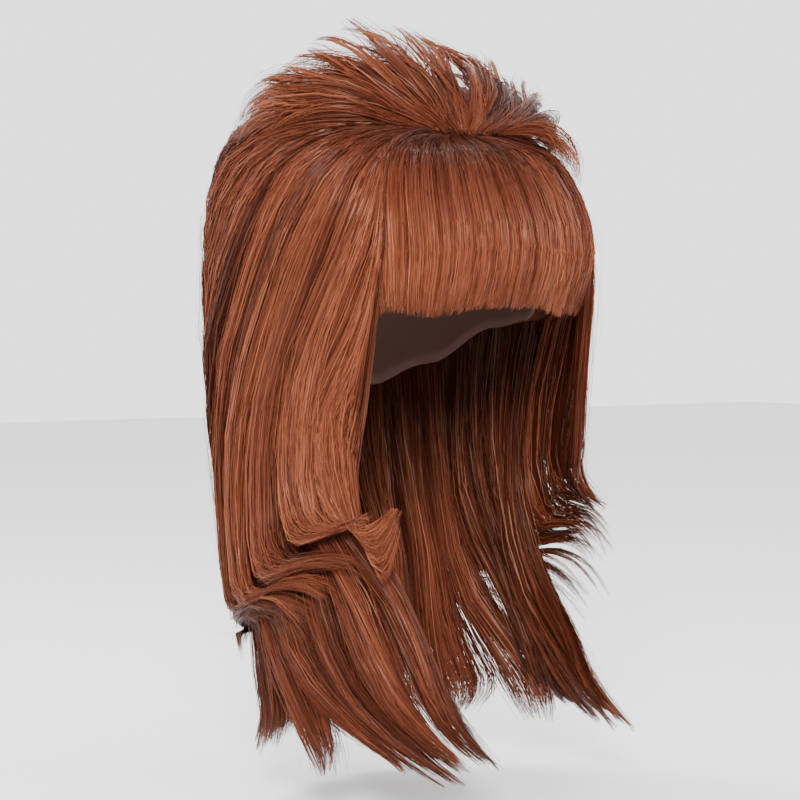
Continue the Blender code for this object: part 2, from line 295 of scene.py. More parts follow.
def spline(points, at):
    """A smooth curve through rows of numbers, at places counted in rows."""
    padded = ends_added(points)
    i, t = split_place(at, len(padded) - 2)
    return sum(w[..., None] * padded[i + k] for k, w in enumerate(catmull(t)))


def profile(values, share):
    return spline(np.asarray(values, float)[:, None], share * (len(values) - 1))[..., 0]


def sections():
    rows = []
    for height, width, front, back in LEVELS:
        rise = height * (MOUND_RISE if height > 0 else FALL_LENGTH)
        ahead = -front * FRONT_REACH
        behind = back * BACK_REACH
        rows.append((rise, width * HALF_WIDTH, (ahead + behind) / 2, (behind - ahead) / 2))
    height, width, middle, depth = rows[1]
    return np.array([(height, -width, middle, -depth)] + rows)


SECTIONS = sections()


def form(across, backwards):
    """Points of the hair's outer form at flat coordinates about the top of the mound."""
    row = spline(SECTIONS, np.hypot(across, backwards) + 1)
    turn = np.arctan2(across, -backwards)
    full = 1 + FULLNESS * np.sin(2 * turn) ** 2
    return np.stack(
        [
            row[..., 1] * full * np.sin(turn),
            row[..., 2] - row[..., 3] * full * np.cos(turn),
            row[..., 0],
        ],
        axis=-1,
    )


def off_form(place, lift):
    """Points that far outside the form, square to it, and the directions that are square."""
    across, backwards = place[..., 0], place[..., 1]
    step = 0.02
    along_x = form(across + step, backwards) - form(across - step, backwards)
    along_y = form(across, backwards + step) - form(across, backwards - step)
    outwards = np.cross(along_x, along_y)
    outwards /= np.linalg.norm(outwards, axis=-1, keepdims=True) + 1e-12
    return form(across, backwards) + lift[..., None] * outwards, outwards


def on_map(turn, level):
    angle = np.radians(turn)
    return np.stack([level * np.sin(angle), -level * np.cos(angle)], axis=-1)


def rim_drop(turn):
    """Depth of the cap's rim below the origin at turns in degrees."""
    turns, drops = np.array(RIM, float).T
    turn = np.abs((turn + 180) % 360 - 180)
    i = np.clip(np.searchsorted(turns, turn, side="right") - 1, 0, len(turns) - 2)
    share = np.clip((turn - turns[i]) / (turns[i + 1] - turns[i]), 0, 1)
    eased = share * share * (3 - 2 * share)
    return (drops[i] + (drops[i + 1] - drops[i]) * eased) * HEAD_TOP_TO_GIRTH


HEIGHT_STEPS = np.linspace(0, LAST_LEVEL, 400)
HEIGHTS = spline(SECTIONS, HEIGHT_STEPS + 1)[:, 0]


def level_at(height):
    return np.interp(-height, -HEIGHTS, HEIGHT_STEPS)


def mirrored(table):
    """The paths of a flow as map places, those of the left half in reverse after the right."""
    right = [on_map(*np.array(row, float).T) for row in table]
    left = [path * np.array((-1, 1)) for path in reversed(right)]
    return np.array(right + left[1:])


PATHS = {
    "top": mirrored(TOP_FLOW),
    "fringe": mirrored(FRINGE_FLOW),
    "tuft": mirrored(TUFT_FLOW),
    "under": np.array(UNDER_FLOW, float),
}


def route(flow, row, share):
    """Map places at shares of the way from root to tip, on paths numbered by row."""
    paths = PATHS[flow]
    padded = ends_added([ends_added(path) for path in paths])
    i, t = split_place(row, len(paths))
    j, s = split_place(share * (paths.shape[1] - 1), paths.shape[1])
    place = 0
    for m, across in enumerate(catmull(t)):
        for n, along in enumerate(catmull(s)):
            place = place + (across * along)[..., None] * padded[i + m, j + n]
    if flow != "under":
        return place
    turn, drop = place[..., 0], place[..., 1]
    rim_level = level_at(-rim_drop(turn))
    return on_map(-turn, rim_level + drop * (LAST_LEVEL - rim_level))


def eased(share):
    share = np.clip(share, 0, 1)
    return share * share * (3 - 2 * share)


def swept(row, share):
    """Rows of the upper layer's hair once it leans back from the face."""
    middle = (len(PATHS["top"]) - 1) / 2
    return row + np.clip((middle - row) / 3, -1, 1) * profile(SWEEP, share)


def squeezed(row, flow):
    """Rows held within a flow's edges: what would pass an edge is packed close along it."""
    low = -BEYOND[flow]
    high = len(PATHS[flow]) - 1 + BEYOND[flow]
    under = np.minimum(row - low - EDGE, 0)
    row = np.where(row < low + EDGE, low + EDGE * np.exp(under / EDGE), row)
    over = np.minimum(high - EDGE - row, 0)
    return np.where(row > high - EDGE, high - EDGE * np.exp(over / EDGE), row)


def turned(place, degrees):
    """Map places turned about the top of the mound."""
    angle = np.radians(degrees)
    across, backwards = place[..., 0], place[..., 1]
    return np.stack(
        [
            across * np.cos(angle) - backwards * np.sin(angle),
            backwards * np.cos(angle) + across * np.sin(angle),
        ],
        axis=-1,
    )


def to_whorl(place, share):
    """Map places drawn to the whorl near their roots."""
    pull = WHORL_PULL * np.clip(1 - share / WHORL_SHARE, 0, 1) ** 2
    return place + pull[..., None] * (on_map(0, WHORL_LEVEL) - place)


def lock_points(name, lock, across, depth, share, aside=0.0, raised=0.0):
    """Points in a layer's locks, with the outward directions there.

    across and depth are a lock's own, from -1 to 1.  aside and raised move a point off the
    lock's line, in metres, as wisps and stray hairs do.
    """
    layer, style = LAYERS[name], STYLES[name]
    slot = (layer.last - layer.first) / layer.locks
    free = np.clip((share - layer.parting) / (1 - layer.parting), 0, 1)
    narrow = 1 - LOCK_TAPER * (1 - style.blunt) * free**layer.taper
    bend = LOCK_STRAY * (1 - narrow) * np.sin(1.9 * lock + layer.sway)
    turn = 2 * math.pi * style.waves * share + 0.9 * lock + layer.sway
    swing = style.swing * MM * eased(1.8 * share)
    sideways = (swing * np.sin(turn) + aside) / LOCK_WIDTH[name]
    hill = np.sin(math.pi * np.clip(share, 0, 1))
    spread = 0.58 - PARTED[layer.flow] * hill * (0.5 + 0.5 * np.sin(3.1 * lock + layer.sway))
    row = layer.first + slot * (lock + 0.5 + bend + spread * narrow * across + sideways)
    if layer.flow == "top":
        row = swept(row, share)
    row = squeezed(row, layer.flow)
    shorter = LOCK_SHORTER * (1 - style.blunt) * (0.5 + 0.5 * np.sin(2.6 * lock + layer.sway))
    place = route(layer.flow, row, share - free * shorter)
    if layer.flow != "under":
        place = to_whorl(place, share)
    sag = 1 + style.droop * (np.sin(math.pi * free) - 0.3 * free)
    place = turned(place * sag[..., None], style.curl * free**2)

    thickness = THICKNESS[layer.flow]
    wall = thickness * profile(WALLS[layer.flow], share)
    lift = profile(SPACE[layer.flow], share) + 0.5 * wall * (1 + depth)
    ridge = np.sqrt(np.clip(1 - across**2, 0, 1)) - 0.5
    lift = lift + style.ridge * MM * ridge * (wall / thickness)
    lift = lift + style.crest * MM * eased(6 * share) * eased(2.0 - 3.5 * share)
    if style.blunt < 0.5:
        lift = lift + hill * (TILT * across + STEP * np.sin(2.2 * lock + 1.3 * layer.sway))
    lift = lift + layer.flick * free**2 + 0.4 * swing * np.cos(turn) + raised
    return off_form(place, lift)


def middle_width(name):
    """Width of one of a layer's locks half way down, in metres."""
    layer = LAYERS[name]
    middle = (layer.first + layer.last) / 2
    slot = (layer.last - layer.first) / layer.locks
    rows = np.array([middle - slot / 2, middle + slot / 2])
    ends = off_form(route(layer.flow, rows, np.full(2, 0.5)), np.zeros(2))[0]
    return np.linalg.norm(ends[1] - ends[0])


def hair_length(name):
    """Length of the hair in the middle of a layer, in metres."""
    layer = LAYERS[name]
    share = np.linspace(0, 1, 30)
    middle = np.full(30, (layer.first + layer.last) / 2)
    line = off_form(route(layer.flow, middle, share), np.zeros(30))[0]
    return np.linalg.norm(np.diff(line, axis=0), axis=1).sum()


LOCK_WIDTH = {name: middle_width(name) for name in LAYERS}
HAIR_LENGTH = {name: hair_length(name) for name in LAYERS}
LONGEST_HAIR = 600 * MM


def lock_numbers(name):
    """The numbers of a layer's locks, with the ones that start past its edge."""
    extra = STYLES[name].extra
    return np.arange(min(0, extra), LAYERS[name].locks + max(0, extra), dtype=float)


def linked(obj):
    bpy.context.scene.collection.objects.link(obj)
    return obj


def mesh_piece(name, mesh, look, replaced=()):
    """A finished mesh as a piece of the wig."""
    mesh.materials.append(look)
    piece = linked(bpy.data.objects.new(name, mesh))
    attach(piece, "root")
    if replaced:
        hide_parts(*replaced)
    return piece


def finished_mesh(name, bm):
    mesh = bpy.data.meshes.new(name)
    bm.to_mesh(mesh)
    bm.free()
    mesh.shade_smooth()
    return mesh


class Wire:
    """A socket of a material that takes part in Python sums, and makes its own nodes."""

    def __init__(self, tree, socket):
        self.tree = tree
        self.socket = socket

    def maths(self, operation, *values):
        return node(self.tree, "ShaderNodeMath", {"operation": operation}, *values)

    def __add__(self, other):
        return self.maths("ADD", self, other)

    def __mul__(self, other):
        return self.maths("MULTIPLY", self, other)

    def __sub__(self, other):
        return self.maths("SUBTRACT", self, other)

    def __rsub__(self, other):
        return self.maths("SUBTRACT", other, self)

    def __pow__(self, other):
        return self.maths("POWER", self, other)

    __radd__ = __add__
    __rmul__ = __mul__


def node(tree, kind, settings, *values, out=0, **named):
    """A node with its settings made first and then its sockets filled, as a Wire."""
    made = tree.nodes.new(kind)
    for key, value in settings.items():
        if key == "stops":
            ramp = made.color_ramp
            while len(ramp.elements) < len(value):
                ramp.elements.new(1)
            for element, (position, colour) in zip(ramp.elements, value):
                element.position = position
                element.color = (*colour, 1)
        else:
            setattr(made, key, value)
    sockets = list(enumerate(values)) + [(key.replace("_", " "), v) for key, v in named.items()]
    for key, value in sockets:
        socket = made.inputs[key]
        if isinstance(value, Wire):
            tree.links.new(value.socket, socket)
        else:
            socket.default_value = value
    return Wire(tree, made.outputs[out])


def new_look(name, roughness, shine=0.16, shine_tint=(1.0, 0.6, 0.45)):
    """A Principled material: its tree, its shader node and itself."""
    look = bpy.data.materials.new(name)
    look.use_nodes = True
    shader = look.node_tree.nodes["Principled BSDF"]
    shader.inputs["Roughness"].default_value = roughness
    shader.inputs["Specular IOR Level"].default_value = shine
    shader.inputs["Specular Tint"].default_value = (*shine_tint, 1)
    return look, look.node_tree, shader


def shades(tree, settings, at):
    """The hair's colour from dark to light at a number from 0 to 1."""
    stops = (
        (0.0, settings.dark),
        (0.35, settings.deep),
        (0.7, settings.copper),
        (1.0, settings.light),
    )
    return node(tree, "ShaderNodeValToRGB", {"stops": stops}, at)


# Length of the painted shade that darkens the hair near the roots
ROOT_PAINTED_SHADE = 120 * MM


def strand_look(settings):
    """Loose fibres: across the map is a strand's shade, its own tone with painted light and shade, and up it is
    root to tip.
    """
    look, tree, shader = new_look("copper_strands", settings.gloss)
    place = node(tree, "ShaderNodeUVMap", {"uv_map": "OFBake"})
    parts = tree.nodes.new("ShaderNodeSeparateXYZ")
    tree.links.new(place.socket, parts.inputs[0])
    shade = Wire(tree, parts.outputs[0])
    along = Wire(tree, parts.outputs[1])
    # Painted shade: the strands darken towards their roots
    root = node(
        tree, "ShaderNodeMapRange", {"interpolation_type": "SMOOTHSTEP"}, along, 0.0, ROOT_PAINTED_SHADE / LONGEST_HAIR, 0.42, 0.0
    )
    tint = shades(tree, settings, shade - root)
    tree.links.new(tint.socket, shader.inputs["Base Color"])
    rough = shade * -0.12 + (settings.gloss + 0.06)
    tree.links.new(rough.socket, shader.inputs["Roughness"])
    return look


def lock_look(settings):
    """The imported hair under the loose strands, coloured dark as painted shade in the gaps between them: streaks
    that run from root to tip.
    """
    look, tree, shader = new_look("copper_locks", settings.gloss + 0.12)
    place = node(tree, "ShaderNodeUVMap", {"uv_map": "OFBake"})
    stretched = node(
        tree, "ShaderNodeMapping", {}, place, (0, 0, 0), (0, 0, 0), (90, 2.5, 1)
    )
    streaks = node(
        tree, "ShaderNodeTexNoise", {"noise_dimensions": "2D"}, Vector=stretched, Scale=1.0, Detail=4.0
    )
    # Offset to the dark end of the ramp: painted shade where the locks show between strands
    tint = shades(tree, settings, streaks * 0.5 - 0.15)
    tree.links.new(tint.socket, shader.inputs["Base Color"])
    bump = node(tree, "ShaderNodeBump", {}, Strength=0.6, Distance=0.4 * MM, Height=streaks)
    tree.links.new(bump.socket, shader.inputs["Normal"])
    return look


def teased_look(settings):
    look, tree, shader = new_look("teased_hair", 0.65)
    place = node(tree, "ShaderNodeUVMap", {"uv_map": "OFBake"})
    stretched = node(tree, "ShaderNodeMapping", {}, place, (0, 0, 0), (0, 0, 0), (70, 14, 1))
    fuzz = node(
        tree, "ShaderNodeTexNoise", {"noise_dimensions": "2D"}, Vector=stretched, Scale=1.0, Detail=6.0
    )
    # Mostly dark: painted shade on the back-combed base under the layers
    tint = shades(tree, settings, fuzz * 0.7 - 0.2)
    tree.links.new(tint.socket, shader.inputs["Base Color"])
    bump = node(tree, "ShaderNodeBump", {}, Strength=0.8, Distance=1.2 * MM, Height=fuzz)
    tree.links.new(bump.socket, shader.inputs["Normal"])
    return look


def knit_look(settings):
    """Fine ribbed knit: loops along the rows and rows down the cap."""
    look, tree, shader = new_look("cap_knit", 0.8)
    place = node(tree, "ShaderNodeUVMap", {"uv_map": "OFBake"})
    loops = node(tree, "ShaderNodeTexWave", {"wave_type": "BANDS", "bands_direction": "X"},
                 Vector=place, Scale=26.0, Distortion=0.6)
    rows = node(tree, "ShaderNodeTexWave", {"wave_type": "BANDS", "bands_direction": "Y"},
                Vector=place, Scale=5.0, Distortion=0.4)
    weave = loops * 0.35 + rows**3 * 0.65
    # Darker where the weave is low: painted shade in the grooves of the knit, along with the bump
    tint = node(
        tree,
        "ShaderNodeValToRGB",
        {"stops": ((0.0, tuple(0.3 * c for c in settings.knit)), (1.0, tuple(settings.knit)))},
        weave,
    )
    tree.links.new(tint.socket, shader.inputs["Base Color"])
    bump = node(tree, "ShaderNodeBump", {}, Strength=0.8, Distance=1.2 * MM, Height=weave)
    tree.links.new(bump.socket, shader.inputs["Normal"])
    return look


def plain_look(name, colour, roughness):
    look, tree, shader = new_look(name, roughness)
    shader.inputs["Base Color"].default_value = (*colour, 1)
    return look


def looks(context, name, maker):
    """The named material, made once."""
    if name not in bpy.data.materials:
        maker(context.scene.wig_colours)
    return bpy.data.materials[name]


def wrapped_grid(columns, rows):
    """A sheet of faces with its unit map, to be wrapped round something."""
    bm = bmesh.new()
    uv = bm.loops.layers.uv.new("OFBake")
    bmesh.ops.create_grid(bm, x_segments=columns, y_segments=rows, size=0.5)
    for face in bm.faces:
        for loop in face.loops:
            loop[uv].uv = (loop.vert.co.x + 0.5, loop.vert.co.y + 0.5)
    return bm


def move_to(bm, points):
    for vert, point in zip(bm.verts, points):
        vert.co = point


def grid_places(bm):
    places = np.array([vert.co[:2] for vert in bm.verts])
    return places[:, 0] + 0.5, places[:, 1] + 0.5


LOCK_SIDES = 14
LOCK_ROWS = 26
CORE_SPREAD = 0.18


def packed_locks(name, look):
    """The locks of a layer as closed flattened tubes, just inside its strands."""
    style = STYLES[name]
    joined = bmesh.new()
    for lock in lock_numbers(name):
        bm = wrapped_grid(LOCK_SIDES, LOCK_ROWS)
        around, along = grid_places(bm)
        angle = 2 * math.pi * around
        point = np.sqrt(np.clip(1 - (2 * np.clip(along - 0.5, 0, 1)) ** 2, 0.01, 1))
        across = (style.core + CORE_SPREAD) * point * np.cos(angle)
        depth = style.core * point * np.sin(angle)
        sunk = -0.35 * style.ridge * MM * (style.around < 0.7)
        along = style.core_length * along
        places, _ = lock_points(name, lock, across, depth, along, raised=sunk)
        move_to(bm, places)
        bmesh.ops.remove_doubles(bm, verts=bm.verts[:], dist=0.01 * MM)
        open_edges = [edge for edge in bm.edges if edge.is_boundary]
        bmesh.ops.holes_fill(bm, edges=open_edges, sides=0)
        bmesh.ops.recalc_face_normals(bm, faces=bm.faces[:])
        part = bpy.data.meshes.new("lock")
        bm.to_mesh(part)
        bm.free()
        joined.from_mesh(part)
        bpy.data.meshes.remove(part)
    mesh = finished_mesh(name + "_locks", joined)
    return mesh_piece(name + "_locks", mesh, look, (name,))


def ribbons(name, lines, outwards, widths, roll, shade, along):
    """A mesh of narrow ribbons along lines of points, each turned about itself by roll."""
    count, stations = lines.shape[:2]
    tangent = np.gradient(lines, axis=1)
    side = np.cross(tangent, outwards)
    side /= np.linalg.norm(side, axis=-1, keepdims=True) + 1e-12
    out = np.cross(side, tangent)
    out /= np.linalg.norm(out, axis=-1, keepdims=True) + 1e-12
    roll = roll[:, None, None]
    half = 0.5 * widths[..., None] * (side * np.cos(roll) + out * np.sin(roll))
    points = np.stack([lines - half, lines + half], axis=2).reshape(-1, 3)
    strand = np.arange(count)[:, None] * stations * 2
    step = np.arange(stations - 1)[None, :] * 2
    corners = ((strand + step)[..., None] + np.array((0, 1, 3, 2))).reshape(-1)
    faces = count * (stations - 1)
    mesh = bpy.data.meshes.new(name)
    mesh.vertices.add(len(points))
    mesh.vertices.foreach_set("co", points.astype(np.float32).ravel())
    mesh.loops.add(len(corners))
    mesh.loops.foreach_set("vertex_index", corners.astype(np.int32))
    mesh.polygons.add(faces)
    mesh.polygons.foreach_set("loop_start", np.arange(faces, dtype=np.int32) * 4)
    mesh.update(calc_edges=True)
    shade_at = np.repeat(shade, stations * 2)
    along_at = np.repeat(along, 2, axis=1).ravel()
    flat = np.stack([shade_at[corners], along_at[corners]], axis=-1)
    uv = mesh.uv_layers.new(name="OFBake")
    uv.data.foreach_set("uv", flat.astype(np.float32).ravel())
    mesh.shade_smooth()
    return mesh


def wisp_values(rng, name, count):
    """For each strand its lock and its wisp's own numbers: a dict of arrays."""
    style = STYLES[name]
    numbers = lock_numbers(name)
    lock = rng.integers(0, len(numbers), count)
    wisp = lock * style.wisps + rng.integers(0, style.wisps, count)
    total = len(numbers) * style.wisps
    angle = style.facing * math.pi / 2 + math.pi * style.around * rng.uniform(-1, 1, total)
    reach = rng.uniform(0.5, 1, total)
    values = {
        "across": reach * np.cos(angle),
        "depth": reach * np.sin(angle),
        "drift": style.drift * MM * rng.normal(0, 0.7, total),
        "rise": style.drift * MM * rng.normal(0, 0.4, total),
        "throw": style.throw * MM * rng.uniform(-0.3, 1, total),
        "phase": rng.uniform(0, 2 * math.pi, total),
        "short": rng.uniform(0, style.uneven, total),
        "fill": 1 - rng.uniform(0, 1, total) ** 0.7,
        "shade": rng.normal(0, 0.13, total),
    }
    return numbers[lock], {key: value[wisp] for key, value in values.items()}


def stations_along(stations):
    """Shares of the way for a strand's points, closer near the root and the tip."""
    even = np.linspace(0, 1, stations)
    return even - 0.07 * np.sin(2 * math.pi * even)


def strand_lines(rng, name, count, stations, stray):
    """Lines of points for strands of a layer, with their outward directions and shades.

    stray is 1 for combed strands and more for hairs that stand off.
    """
    style = STYLES[name]
    lock, wisp = wisp_values(rng, name, count)
    angle = style.facing * math.pi / 2 + math.pi * style.around * rng.uniform(-1, 1, count)
    reach = rng.uniform(0.7, 1.04, count)
    own_across = reach * np.cos(angle)
    own_depth = reach * np.sin(angle)
    length = 1.03 - wisp["short"] - rng.uniform(0, 0.05, count)
    start = rng.uniform(-0.04, 0.04, count)[:, None]
    share = start + (length[:, None] - start) * stations_along(stations)
    gather = style.gather * eased(3 * share) + (0.97 - style.gather) * share**3
    gather = gather * (rng.uniform(0, 1, count) < 0.8)[:, None] * (1 - style.blunt)

    def mixed(own, bundle):
        return own[:, None] + (bundle - own)[:, None] * gather

    pace = rng.uniform(1.5, 4.0, (count, 1))
    wander = rng.uniform(0, 2 * math.pi, (2, count, 1))
    frizz = 0.4 * MM * stray**2 * rng.normal(0, 1, (2, count, 1)) * share
    hill = eased(2.5 * share)
    column = {key: value[:, None] for key, value in wisp.items()}
    aside = column["drift"] * hill * np.sin(5 * share + column["phase"])
    aside = aside + 5 * MM * rng.normal(0, 1, (count, 1)) * (1 - hill)
    aside = aside + frizz[0] * np.sin(2 * math.pi * pace * share + wander[0])
    raised = column["rise"] * hill * np.sin(4 * share + 1.7 * column["phase"])
    raised = raised + column["throw"] * share**4
    if LAYERS[name].flow != "under":
        raised = raised + ROOT_RISE * (1 - hill)
    raised = raised + frizz[1] * np.sin(2 * math.pi * pace * share + wander[1])
    raised = raised + (stray - 1) * 6 * MM * rng.uniform(0, 1, (count, 1)) ** 2 * hill
    if LAYERS[name].flow == "tuft":
        # Tufts start at every height between the crown and the highest one
        raised = raised - column["fill"] * profile(SPACE["tuft"], share).clip(0, None)
    lines, outwards = lock_points(
        name, lock[:, None], mixed(own_across, wisp["across"]), mixed(own_depth, wisp["depth"]),
        share, aside, raised,
    )
    # Tone that differs at random by lock, wisp and strand, with each layer's painted light and shade
    shade = 0.60 + style.tone + 0.07 * np.sin(2.3 * lock) + wisp["shade"] + rng.normal(0, 0.10, count)
    # Painted shade on the strands that lie deep in a lock
    shade = shade - 0.12 * (style.facing * own_depth < 0.2)
    # Painted shade between locks: the strands at a lock's edges are darker
    shade = shade - 0.45 * (1 - style.blunt) * own_across**4
    return lines, outwards, np.clip(shade, 0.02, 0.98), share * HAIR_LENGTH[name] / LONGEST_HAIR


ROOT_RISE = 4 * MM


def strand_piece(context, name, look, seed):
    sizes = context.scene.wig_sizes
    rng = np.random.default_rng(seed)
    count = int(STYLES[name].strands * sizes.fullness)
    stations = STYLES[name].stations
    lines, outwards, shade, share = strand_lines(rng, name, count, stations, 1.0)
    thin = np.clip((1 - np.linspace(0, 1, stations)) * 4, 0.25, 1)
    widths = sizes.strand_width * rng.uniform(0.6, 1.3, (count, 1)) * thin
    roll = rng.uniform(-1.1, 1.1, count)
    mesh = ribbons(name + "_strands", lines, outwards, widths, roll, shade, share)
    return mesh_piece(name + "_strands", mesh, look)


def arch_piece(context, look, seed):
    """Loose wisps that arch from the whorl over the crown and end in points."""
    rng = np.random.default_rng(seed)
    name = "crown_and_back"
    wisps, stations = 60, 10
    count = 30 * wisps
    wisp = np.arange(count) % wisps
    side = rng.choice((-1, 1), wisps, p=(0.35, 0.65))
    middle = (LAYERS[name].locks - 1) / 2
    turn_off = np.where(side > 0, rng.uniform(0.5, 6, wisps), rng.uniform(3, 12, wisps))
    lock = (middle - side * turn_off)[wisp, None]
    height = rng.uniform(6, 24, wisps)[wisp, None] * MM
    end = rng.uniform(0.12, 0.21, wisps)[wisp, None] * rng.uniform(0.8, 1, (count, 1))
    bend = rng.uniform(-12, 12, wisps)[wisp, None] * MM
    own = rng.normal(0, 1, (2, count, 1)) * MM
    along = np.linspace(0, 1, stations)[None, :]
    spread = 0.5 + 3.0 * np.sin(math.pi * along**0.8)
    aside = own[0] * spread + bend * along**2
    raised = own[1] * spread + height * np.sin(math.pi * 0.9 * along) + ROOT_RISE * (1 - along)
    zeros = np.zeros((count, stations))
    lines, outwards = lock_points(name, lock, zeros, zeros + 1, end * along, aside, raised)
    # The arching wisps are coloured light: painted light on the crown
    shade = np.clip(0.88 + rng.normal(0, 0.12, count), 0.02, 0.98)
    thin = np.clip((1 - along) * 3, 0.25, 1)
    widths = context.scene.wig_sizes.strand_width * rng.uniform(0.6, 1.1, (count, 1)) * thin
    roll = rng.uniform(-1.3, 1.3, count)
    reach = end * along * HAIR_LENGTH[name] / LONGEST_HAIR
    mesh = ribbons("crown_wisps", lines, outwards, widths, roll, shade, reach)
    return mesh_piece("crown_wisps", mesh, look)


def stray_piece(context, look, seed):
    """Fine single hairs that stand off every layer."""
    rng = np.random.default_rng(seed)
    stations = 11
    parts = [strand_lines(rng, name, count, stations, 2.5) for name, count in STRAYS.items()]
    lines, outwards, shade, share = (np.concatenate(column) for column in zip(*parts))
    count = len(lines)
    thin = np.clip((1 - np.linspace(0, 1, stations)) * 3, 0.3, 1)
    widths = 0.5 * context.scene.wig_sizes.strand_width * rng.uniform(0.7, 1.2, (count, 1)) * thin
    roll = rng.uniform(-1.5, 1.5, count)
    mesh = ribbons("stray_hairs", lines, outwards, widths, roll, shade, share)
    return mesh_piece("stray_hairs", mesh, look)


def dress_layer(context, name, seed):
    packed_locks(name, looks(context, "copper_locks", lock_look))
    strand_piece(context, name, looks(context, "copper_strands", strand_look), seed)


def head_points(turn, share, grow):
    """Points on the head form at shares of the way from its top to the cap's rim."""
    girth = HEAD_TOP_TO_GIRTH + grow
    angle = share * np.arccos(1 - (rim_drop(turn) + grow) / girth)
    side = np.radians(turn)
    return np.stack(
        [
            (HEAD_HALF_WIDTH + grow) * np.sin(angle) * np.sin(side),
            -(HEAD_HALF_DEPTH + grow) * np.sin(angle) * np.cos(side),
            grow - girth + girth * np.cos(angle),
        ],
        axis=-1,
    )


BOWL_SIDES = 64
BOWL_ROWS = 20


def bowl(name, inner, outer):
    """A closed wall between two bowls, mouth down, each given as points(turn, share).

    One sheet runs from the top of the outer bowl to its rim, and up the inner bowl again.
    """
    last = 2 * BOWL_ROWS + 1
    bm = wrapped_grid(BOWL_SIDES, last)
    around, along = grid_places(bm)
    turn = 360 * around
    row = np.rint(along * last)
    outside = outer(turn, np.minimum(row, BOWL_ROWS) / BOWL_ROWS)
    inside = inner(turn, np.minimum(last - row, BOWL_ROWS) / BOWL_ROWS)
    move_to(bm, np.where((row <= BOWL_ROWS)[:, None], outside, inside))
    bmesh.ops.remove_doubles(bm, verts=bm.verts[:], dist=0.01 * MM)
    bmesh.ops.recalc_face_normals(bm, faces=bm.faces[:])
    return finished_mesh(name, bm)


class WigSizes(bpy.types.PropertyGroup):
    strand_width: bpy.props.FloatProperty(
        name="Strand width", description="Width of a strand where it is full", default=0.56 * MM,
        unit="LENGTH", precision=5,
    )
    fullness: bpy.props.FloatProperty(
        name="Fullness", description="Share of the full number of strands", default=1.0,
    )
    view_turn: bpy.props.FloatProperty(
        name="View turn", description="Turn of the camera about the wig",
        default=math.radians(-35), unit="ROTATION",
    )
    view_rise: bpy.props.FloatProperty(
        name="View rise", description="Angle of the camera above level",
        default=math.radians(2), unit="ROTATION",
    )
    view_distance: bpy.props.FloatProperty(
        name="View distance", description="Distance of the camera", default=1.8, unit="LENGTH",
    )
    view_span: bpy.props.FloatProperty(
        name="View span", description="Width that the picture takes in at the wig",
        default=0.6015, unit="LENGTH",
    )


class WigColours(bpy.types.PropertyGroup):
    dark: bpy.props.FloatVectorProperty(
        name="Dark", description="Colour of the darkest fibres", subtype="COLOR", default=(0.018, 0.0035, 0.0015),
    )
    deep: bpy.props.FloatVectorProperty(
        name="Deep", description="Colour of the deeper fibres", subtype="COLOR", default=(0.054, 0.0122, 0.0060),
    )
    copper: bpy.props.FloatVectorProperty(
        name="Copper", description="Colour of most fibres", subtype="COLOR", default=(0.140, 0.0365, 0.0170),
    )
    light: bpy.props.FloatVectorProperty(
        name="Light", description="Colour of the lightest fibres", subtype="COLOR", default=(0.28, 0.090, 0.045),
    )
    gloss: bpy.props.FloatProperty(
        name="Roughness", description="Roughness of the fibres", default=0.36,
    )
    knit: bpy.props.FloatVectorProperty(
        name="Knit", description="Colour of the cap", subtype="COLOR", default=(0.030, 0.010, 0.006),
    )
    floor: bpy.props.FloatVectorProperty(
        name="Floor", description="Colour of the floor", subtype="COLOR", default=(0.95, 0.945, 0.94),
    )


class WIG_OT_cap(bpy.types.Operator):
    """Make the knitted cap with its rows of wefts"""

    bl_idname = "wig.cap"
    bl_label = "Cap"

    def execute(self, context):
        knit = looks(context, "cap_knit", knit_look)
        mesh = bowl(
            "cap_wall",
            lambda turn, share: head_points(turn, share, 0),
            lambda turn, share: head_points(turn, share, CAP_WALL),
        )
        mesh_piece("cap_wall", mesh, knit, ("cap",))
        return {"FINISHED"}


class WIG_OT_base(bpy.types.Operator):
    """Make the back-combed hair between the cap and the layers"""

    bl_idname = "wig.base"
    bl_label = "Back-combed base"

    def execute(self, context):
        def outside(turn, share):
            level = share * level_at(-rim_drop(turn))
            place, _ = off_form(on_map(turn, level), np.full(len(turn), -BASE_DEPTH))
            place[:, 2] = np.where(share > 0.999, -rim_drop(turn), place[:, 2])
            return place

        mesh = bowl(
            "teased_base",
            lambda turn, share: head_points(turn, share, CAP_WALL + 0.4 * MM),
            outside,
        )
        teased = looks(context, "teased_hair", teased_look)
        mesh_piece("teased_base", mesh, teased, ("back_combed_base",))
        return {"FINISHED"}


class WIG_OT_crown(bpy.types.Operator):
    """Make the crown, the back and the tufts that stand up from the parting"""

    bl_idname = "wig.crown"
    bl_label = "Crown and tufts"

    def execute(self, context):
        dress_layer(context, "crown_and_back", 11)
        dress_layer(context, "crown_tufts", 12)
        arch_piece(context, looks(context, "copper_strands", strand_look), 10)
        return {"FINISHED"}


class WIG_OT_fringe(bpy.types.Operator):
    """Make the full rounded fringe"""

    bl_idname = "wig.fringe"
    bl_label = "Fringe"

    def execute(self, context):
        dress_layer(context, "fringe", 13)
        return {"FINISHED"}


class WIG_OT_sides(bpy.types.Operator):
    """Make the swept upper layer over each ear"""

    bl_idname = "wig.sides"
    bl_label = "Sides"

    def execute(self, context):
        dress_layer(context, "side_right", 14)
        dress_layer(context, "side_left", 15)
        return {"FINISHED"}


class WIG_OT_falls(bpy.types.Operator):
    """Make the long under layer over the shoulders and down the back"""

    bl_idname = "wig.falls"
    bl_label = "Falls"

    def execute(self, context):
        for seed, name in enumerate(("fall_right", "fall_back", "fall_left"), 16):
            dress_layer(context, name, seed)
        return {"FINISHED"}


